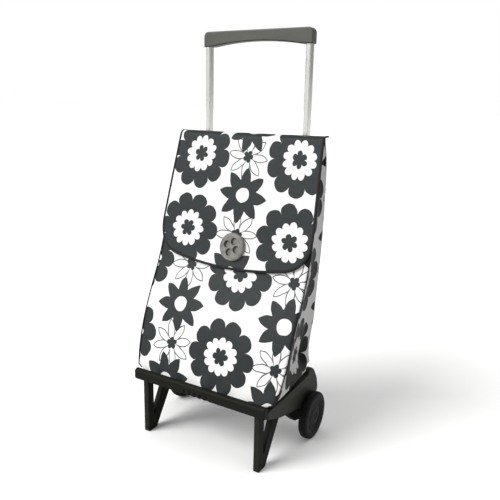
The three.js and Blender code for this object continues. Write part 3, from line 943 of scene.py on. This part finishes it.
def frontLine(z, lift=0):
    size = bagSize
    slope = size["lower"] if z < size["waistZ"] else size["upper"]
    near = max(0, 1 - abs(z - size["waistZ"]) / size["bend"])
    softened = -(size["lower"] - size["upper"]) * size["bend"] / 4 * near * near
    slump = size["slump"] * math.sin(math.pi * min(max((z - 165) / 275, 0), 1)) ** 2
    return size["waistY"] + (z - size["waistZ"]) * slope + softened - slump - 1.06 * lift


def armTop(y):
    if y < -150:
        return 153
    if y < -48:
        return mixed(153, 160, (y + 150) / 102)
    return mixed(160, 176, ease((y + 48) / 12))


def sideReach(y, z):
    # half width of the bag at a depth and height: out over the arms, and drawn in behind their horns
    front = frontLine(z)
    share = min(max((y - front) / (bagSize["backY"] - front), 0), 1)
    wanted = mixed(along(frontWidths, z), along(backWidths, z), ease(share) * 0.55 + share * 0.45)
    over = ease((z - armTop(y) - 1.0) / 15)
    return mixed(bagSize["armSide"], max(wanted, bagSize["armSide"]), over)


def mouthDrop(u, z):
    # how far the bag's mouth hangs down in the middle
    return bagSize["sag"] * (1 - u * u) * ease((z - 640) / 84)


def ripple(x, y, z, size, seed):
    return noise.noise(Vector((x / size, y / size + seed * 7.3, z / size - seed * 3.1)))


def frontPlan(x, z):
    # from height to distance along the sloping cloth
    length = 0
    steps = 12
    low = bagSize["bottom"]
    for k in range(steps):
        a, b = mixed(low, z, k / steps), mixed(low, z, (k + 1) / steps)
        length += math.hypot(b - a, frontLine(b) - frontLine(a))
    return x * mm, length * mm


# how far the front swells and folds: looser below slackZ, with small gathers at its foot
frontShape = dict(half=190, belly=6.5, slackZ=395, folds=2.2, fineFolds=0.9, tautFolds=0.8, gathers=2.0,
                  gatherZ=215, turnIn=3.0)


def frontPoint(u, z):
    shape = frontShape
    width = sideReach(frontLine(z), z)
    across = u * shape["half"]
    belly = shape["belly"] * math.sin(math.pi * min(max((z - 158) / 250, 0), 1)) * (1 - u * u)
    slack = ease((shape["slackZ"] - z) / 90)
    folds = slack * (shape["folds"] * ripple(across, 0, z, 90, 1)
                     + shape["fineFolds"] * ripple(across, 0, z, 34, 2))
    folds += (1 - slack) * shape["tautFolds"] * ripple(across, 0, z, 80, 1)
    foot = ease((shape["gatherZ"] - z) / 60)
    folds += foot * shape["gathers"] * math.sin(u * 21 + 0.6) * (1 - u * u)
    turnIn = shape["turnIn"] * abs(u) ** 16
    y = frontLine(z) - belly - folds * (1 - abs(u) ** 6) + turnIn
    return at(u * width, y, z - mouthDrop(u, z))


def makeFront():
    columns = 64
    heights = evenSteps(bagSize["bottom"], bagSize["top"], 84)
    us = [-1 + 2 * i / columns for i in range(columns + 1)]
    us = [math.copysign(abs(u) ** 0.92, u) for u in us]
    plans = [frontPlan(0, z)[1] for z in heights]
    return sheetGrid("front_cloth", lambda i, j: frontPoint(us[i], heights[j]), columns, len(heights) - 1,
                     lambda i, j: (us[i] * sideReach(frontLine(heights[j]), heights[j]) * mm, plans[j]),
                     bagSize["thick"])


# the side wall: share runs from the front to the back, with a pleat and, over the arm's horn, a swelling
sideShape = dict(hollow=3.5, slackHollow=5, pleat=8, pleatAt=0.80, pleatWide=0.10, swell=4.5, swellAt=0.93,
                 swellWide=0.07, swellZ=205, swellHigh=22, folds=2.6, fineFolds=1.0)


def sidePoint(side, share, z):
    shape = sideShape
    front = frontLine(z) + 3.2
    back = bagSize["backY"] - 3.0
    y = mixed(front, back, share)
    reach = sideReach(y, z) - 0.6
    middle = math.sin(math.pi * share)
    slack = ease((520 - z) / 200)
    hollow = middle * (shape["hollow"] + shape["slackHollow"] * slack)
    reach -= hollow * ease((z - 190) / 40) * ease((728 - z) / 60)
    pleat = math.exp(-((share - shape["pleatAt"]) / shape["pleatWide"]) ** 2)
    reach -= shape["pleat"] * (pleat * ease((330 - z) / 120) * ease((z - 190) / 30))
    swell = math.exp(-((share - shape["swellAt"]) / shape["swellWide"]) ** 2)
    reach += shape["swell"] * (swell * math.exp(-((z - shape["swellZ"]) / shape["swellHigh"]) ** 2))
    reach += middle * (shape["folds"] * ripple(y, 0, z, 70, 4 + side)
                       + shape["fineFolds"] * ripple(y, 0, z, 26, 6 + side))
    if z < armTop(y) + 3:
        reach = min(reach, bagSize["armSide"])
    return at(side * reach, y, z)


def makeSide(label, side):
    columns, rows = 40, 84
    heights = evenSteps(bagSize["bottom"], bagSize["top"], rows)

    def shareAt(i):
        return i / columns if side > 0 else 1 - i / columns

    def place(i, j):
        return sidePoint(side, shareAt(i), heights[j])

    def plan(i, j):
        depth = (bagSize["backY"] - frontLine(heights[j])) * (1 - shareAt(i))
        return depth * mm, heights[j] * mm

    return sheetGrid("side_cloth_" + label, place, columns, rows, plan, bagSize["thick"])


def makeBack():
    columns, rows = 48, 64
    heights = evenSteps(bagSize["bottom"], bagSize["top"], rows)
    us = [1 - 2 * i / columns for i in range(columns + 1)]

    def place(i, j):
        u, z = us[i], heights[j]
        width = sideReach(bagSize["backY"], z) - 0.4
        inward = 1.2 + 1.0 * ripple(u * 190, 5, z, 75, 9) + 0.5 * ripple(u * 190, 5, z, 30, 10)
        inward *= (1 - abs(u) ** 8) * ease((720 - z) / 60)
        return at(u * width, bagSize["backY"] - max(inward, 0), z - mouthDrop(u, z))

    return sheetGrid("back_cloth", place, columns, rows,
                     lambda i, j: (us[i] * sideReach(bagSize["backY"], heights[j]) * mm, heights[j] * mm),
                     bagSize["thick"])


boardSize = dict(outline=(-156, 156, -219, -66), bottom=149.1, top=152.1)
baseSize = dict(half=160, front=-222, rear=-62, z=146.3, thick=2.2)


def makeBase(size):
    columns, rows = 40, 24

    def place(i, j):
        u = -1 + 2 * i / columns
        v = -1 + 2 * j / rows
        corner = 1 - 0.03 * (abs(u) ** 10) * (abs(v) ** 10)
        x = u * size["half"] * corner
        y = mixed(size["front"], size["rear"], (v * corner + 1) / 2)
        return at(x, y, size["z"] + 0.1 + 0.2 * ripple(x, y, 0, 30, 12))

    return sheetGrid("base_cloth", place, columns, rows,
                     lambda i, j: (size["half"] * 2 * i / columns * mm,
                                   (size["rear"] - size["front"]) * j / rows * mm),
                     size["thick"], inside=1)


# flap
flapSize = dict(
    lift=5.6, thick=1.9, rearY=-13.6, topZ=728.0, bend=13, hem=421.5, hemRise=13.5, flatHalf=147,
    cornerZ=435, controlZ=447, sideZ=520, half=206, bindingWide=6.6, bindingThick=4.1, overhang=3.4,
    waves=0.7, fineWaves=0.5, droop=0.8,
)


def flapPath():
    # the flap's line from its rear edge over the top and down the front, as points and lengths
    size = flapSize
    edgeZ = size["topZ"]
    corner = Vector((frontLine(edgeZ, size["lift"]), edgeZ))
    below = Vector((frontLine(640, size["lift"]), 640))
    rear = Vector((size["rearY"], edgeZ))
    down = (below - corner).normalized()
    back = (rear - corner).normalized()
    half = math.acos(max(-1, min(1, down.dot(back)))) / 2
    reach = min(size["bend"] / math.tan(half), (rear - corner).length * 0.96)
    points = [rear]
    for k in range(9):
        points.append(arcPoint(corner + back * reach, corner, corner + down * reach, math.sin(half), k / 8))
    z = points[-1].y - 6
    while z > 405:
        points.append(Vector((frontLine(z, size["lift"]), z)))
        z -= 6
    lengths = [0]
    for a, b in zip(points, points[1:]):
        lengths.append(lengths[-1] + (b - a).length)
    return points, lengths


flapLine, flapLengths = flapPath()


def onFlap(length):
    i = max(k for k in range(len(flapLengths) - 1) if flapLengths[k] <= max(length, 0))
    share = (length - flapLengths[i]) / (flapLengths[i + 1] - flapLengths[i])
    point = flapLine[i].lerp(flapLine[i + 1], share)
    ahead = (flapLine[i + 1] - flapLine[i]).normalized()
    return point, Vector((ahead.y, -ahead.x))  # the second is the outward direction


def lengthAtHeight(z):
    for i in range(len(flapLine) - 1):
        a, b = flapLine[i], flapLine[i + 1]
        if a.y >= z > b.y:
            return mixed(flapLengths[i], flapLengths[i + 1], (a.y - z) / (a.y - b.y))
    return flapLengths[-1] if z < 420 else 0


def flapColumns():
    # x of each column and the height at which its hem lies, from the left edge to the right
    size = flapSize
    right = [(size["flatHalf"] * k / 22, size["hem"] + size["hemRise"] * (k / 22) ** 2) for k in range(23)]
    for k in range(1, 15):
        t = k / 14
        x = (1 - t) ** 2 * size["flatHalf"] + (2 * t * (1 - t) + t * t) * size["half"]
        z = (1 - t) ** 2 * size["cornerZ"] + 2 * t * (1 - t) * size["controlZ"] + t * t * size["sideZ"]
        right.append((x, z))
    left = [(-x, z) for x, z in reversed(right[1:])]
    return left + right


def flapPoint(x, length):
    size = flapSize
    point, outward = onFlap(length)
    y, z = point
    share = x / size["half"]
    width = (along(frontWidths, min(z, bagSize["top"])) + size["overhang"]) / size["half"]
    hang = ease((length - 20) / 120)
    droop = ease((length - 240) / 90)
    waves = size["waves"] * ripple(x, length, 0, 85, 15)
    waves += droop * size["fineWaves"] * ripple(x, length, 0, 40, 16)
    lift = hang * waves + droop * size["droop"] * share * share
    y += outward.x * lift
    z += outward.y * lift
    z -= mouthDrop(share, z)
    return at(x * width, y, z)


def flapPlan(x, z):
    return x * mm, -lengthAtHeight(z) * mm


def makeFlap():
    columns = flapColumns()
    rows = 72
    ends = [lengthAtHeight(z) for x, z in columns]

    def place(i, j):
        return flapPoint(columns[i][0], ends[i] * (1 - j / rows))

    panel = sheetGrid("flap_cloth", place, len(columns) - 1, rows,
                      lambda i, j: (columns[i][0] * mm, -ends[i] * (1 - j / rows) * mm), flapSize["thick"],
                      inside=0)
    path, outs = [], []
    count = 56
    leftX, rightX = columns[0][0], columns[-1][0]
    for k in range(count):
        path.append(flapPoint(leftX, ends[0] * k / count))
        outs.append(Vector((-1, 0, 0)))
    for i, (x, z) in enumerate(columns):
        path.append(flapPoint(x, ends[i]))
        a, b = columns[max(i - 1, 0)], columns[min(i + 1, len(columns) - 1)]
        step = Vector((b[0] - a[0], 0, b[1] - a[1])).normalized()
        outs.append(Vector((step.z, 0.25 * step.x, -step.x)))
    for k in range(count):
        path.append(flapPoint(rightX, ends[-1] * (1 - (k + 1) / count)))
        outs.append(Vector((1, 0, 0)))
    section = ovalSection(flapSize["bindingWide"], flapSize["bindingThick"], 14)
    binding = swept("flap_edging", path, section, outs)
    return panel, binding


flap, flapEdging = makeFlap()
front = makeFront()
sideCloths = {label: makeSide(label, s) for label, s in sides}
back = makeBack()
base = makeBase(baseSize)
board = moulded("stiff_board", [boxOutline(*boardSize["outline"], 8)], "z", boardSize["bottom"],
                boardSize["top"], 0.6, 2)


def makeSeam(label, side):
    heights = evenSteps(bagSize["bottom"] + 12, bagSize["top"] - 5, 96)
    path = []
    for z in heights:
        width = sideReach(frontLine(z), z)
        path.append(at(side * (width + 0.5), frontLine(z) + 2.3, z))
    outs = [Vector((side * 0.7, -0.7, 0))] * len(path)
    return swept("seam_edging_" + label, path, ovalSection(2.6, 2.6, 10), outs)


seams = {label: makeSeam(label, s) for label, s in sides}
print("bag sheets cut")

frontLook = (printSet["white"], printSet["ink"], printSet["gloss"])
# the side walls get a darker copy of the printed cloth: painted shade
shadedSideLook = (printSet["shadedSideWhite"], printSet["shadedSideInk"], printSet["sideGloss"])


def upright(x, z):
    return x * mm, z * mm


finishes["flapPrint"] = printedFinish("flap print", flapFlowers, flapPlan, *frontLook)
finishes["frontPrint"] = printedFinish("front print", frontFlowers, frontPlan, *frontLook)
finishes["shadedSidePrint"] = printedFinish("side print with painted shade", sideFlowers, upright, *shadedSideLook)
finishes["backPrint"] = printedFinish("back print", backFlowers, upright, *frontLook)

fit(flap, "flap", "printed_cloth", "flap_panel", look=("flapPrint", "lining"))
fit(flapEdging, "flap", "black_binding", "flap_binding", look="tape")
fit(front, "frame", "printed_cloth", "bag_front_panel", look=("frontPrint", "lining"))
fit(back, "frame", "side_cloth", "bag_back_panel", look=("backPrint", "lining"))
fit(base, "platform", "side_cloth", "bag_base_panel", look=("lining", "lining"))
fit(board, "platform", "board", "bag_base_board", look="board")
for label, s in sides:
    fit(sideCloths[label], "frame", "side_cloth", "bag_gusset_" + label, look=("shadedSidePrint", "lining"))
    fit(seams[label], "frame", "black_binding", "front_binding_" + label, look="tape")

foldSet = dict(anchor=(0, (tubePlane - 19.6) * mm, 0.4), keep=0.02)
for piece in [front, *sideCloths.values(), *seams.values()]:
    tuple(foldSet["anchor"])
    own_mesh(piece)

print("bag sewn and fitted")


# webbing loops that hang the bag on the crossbar
loopSize = dict(innerX=62, outerX=88, front=-13.4, rear=8.2, bottom=681.5, top=701.5, tape=1.7)


def makeLoop(label, side, size):
    # flat tape led round the crossbar as a closed loop
    ring = boxOutline(size["front"], size["rear"], size["bottom"], size["top"], 4.5, 6)
    hole = boxOutline(size["front"] + size["tape"], size["rear"] - size["tape"],
                      size["bottom"] + size["tape"], size["top"] - size["tape"], 3.2, 6)
    low, high = both(side, size["innerX"], size["outerX"])
    return moulded("hanging_tape_" + label, [ring, hole], "x", low, high, 0.5, 2)


for label, s in sides:
    fit(makeLoop(label, s, loopSize), "frame", "black_binding", "hanger_loop_" + label, look="tape")


# clasp
claspSize = dict(x=9, z=470, radius=33.5, thick=8, lift=7.0, rim=4.6, dish=0.9, dimple=9.0, dimpleOut=9.8,
                 dimpleDeep=6.2, dimpleTurn=24, dimpleEdge=0.9, rimFoot=2.6, groove=0.5, grooveIn=1.2,
                 grooveWide=0.8)


def makeClasp(size):
    tilt = math.atan(bagSize["upper"])
    centre = at(size["x"], frontLine(size["z"], size["lift"]), size["z"])
    acrossWay = Vector((1, 0, 0))
    upWay = Vector((0, math.sin(tilt), math.cos(tilt)))
    outWay = Vector((0, -math.cos(tilt), math.sin(tilt)))
    turn = math.radians(size["dimpleTurn"])
    hollows = []
    for k in range(4):
        a = turn + math.pi / 4 + k * math.pi / 2
        hollows.append(Vector((math.cos(a), math.sin(a))) * size["dimpleOut"] * math.sqrt(2))

    def height(radius, spot):
        top = size["thick"] - size["dish"] * (1 - (radius / size["radius"]) ** 2)
        rim = (size["radius"] - radius) / size["rim"]
        if rim < 1:
            top -= (size["thick"] - size["rimFoot"]) * (1 - math.sqrt(max(1 - (1 - rim) ** 2, 0)))
        groove = size["radius"] - size["rim"] - size["grooveIn"]
        top -= size["groove"] * math.exp(-((radius - groove) / size["grooveWide"]) ** 2)
        for hollow in hollows:
            away = (spot - hollow).length
            top -= size["dimpleDeep"] * ease((size["dimple"] - away) / size["dimpleEdge"])
        return top

    steps, rings = 160, 64
    points = [centre + outWay * (height(0, Vector((0, 0))) * mm)]
    rows = []
    for r in range(1, rings + 1):
        radius = size["radius"] * r / rings
        rows.append([])
        for way in roundWay(steps):
            spot = Vector(way) * radius
            rows[-1].append(len(points))
            points.append(centre + (acrossWay * spot.x + upWay * spot.y + outWay * height(radius, spot)) * mm)
    rows.append([])
    for way in roundWay(steps):
        spot = Vector(way) * (size["radius"] - 0.5)
        rows[-1].append(len(points))
        points.append(centre + (acrossWay * spot.x + upWay * spot.y) * mm)
    faces = []
    for k in range(steps):
        faces.append((0, rows[0][k], rows[0][(k + 1) % steps]))
    for a, b in zip(rows, rows[1:]):
        for k in range(steps):
            n = (k + 1) % steps
            faces.append((a[k], b[k], b[n], a[n]))
    faces.append(tuple(reversed(rows[-1])))
    return meshFrom("round_clasp", points, faces, 50)


fit(makeClasp(claspSize), "flap", "clasp_pewter", "clasp_button", look="pewter")
print("clasp made")


# CAD nodes that stay get their finish
keptNodes = {
    "steel": ["grip_pin_left", "grip_pin_right", "tube_pin_left", "tube_pin_right", "hinge_pin_left",
              "hinge_pin_right", "axle", "axle_clip_left", "axle_clip_right", "clasp_socket", "clasp_stud"],
    "darkPlastic": ["glide_shoe_left", "glide_shoe_right"],
}
for look, names in keptNodes.items():
    for name in names:
        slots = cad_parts[name].data.materials
        if len(slots) == 0:
            slots.append(finishes[look])
        for i in range(len(slots)):
            slots[i] = finishes[look]


def makeStudio(size):
    floor = bpy.data.meshes.new("studio_floor")
    h = size["floorHalf"]
    floor.from_pydata([(-h, -h, 0), (h, -h, 0), (h, h, 0), (-h, h, 0)], [], [(0, 1, 2, 3)])
    obj = newObject("studio_floor", floor)
    finish, tree, shader = newFinish("pale floor")
    where = objectPlace(tree)
    cloud = grain(tree, where, 3, 3)
    tone = size["floorTone"]
    tree.links.new(blendTones(tree, cloud, tone, [c * 0.985 for c in tone]), shader.inputs["Base Color"])
    shader.inputs["Roughness"].default_value = 0.9
    shader.inputs["Specular IOR Level"].default_value = 0.1
    floor.materials.append(finish)
    obj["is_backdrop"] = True
    for part in ("key", "top"):
        sun = bpy.data.lights.new(part + " light", "SUN")
        sun.energy = size[part + "Strength"]
        sun.angle = math.radians(size[part + "Softness"])
        sun.color = size["keyTint"]
        lamp = bpy.data.objects.new(part + " light", sun)
        lamp.rotation_mode = "QUATERNION"
        lamp.rotation_quaternion = Vector(size[part + "From"]).to_track_quat("Z", "Y")
        bpy.context.collection.objects.link(lamp)
    world = bpy.data.worlds.new("studio")
    world.use_nodes = True
    bpy.context.scene.world = world
    tree = world.node_tree
    tree.nodes.clear()
    seen = addNode(tree, "Background", [("Color", (*size["backdrop"], 1)), ("Strength", 1.0)])
    glow = addNode(tree, "Background", [("Color", (1, 1, 1, 1)), ("Strength", size["fill"])])
    ray = addNode(tree, "LightPath")
    shown = addNode(tree, "MixShader", [(0, ray.outputs["Is Camera Ray"]), (1, glow.outputs[0]),
                                        (2, seen.outputs[0])])
    end = tree.nodes.new("ShaderNodeOutputWorld")
    tree.links.new(shown.outputs[0], end.inputs[0])


makeStudio(lightSet)
print("studio lit")

low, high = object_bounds()
{"cad": [list(cadLow), list(cadHigh)], "visual": [list(low), list(high)]}
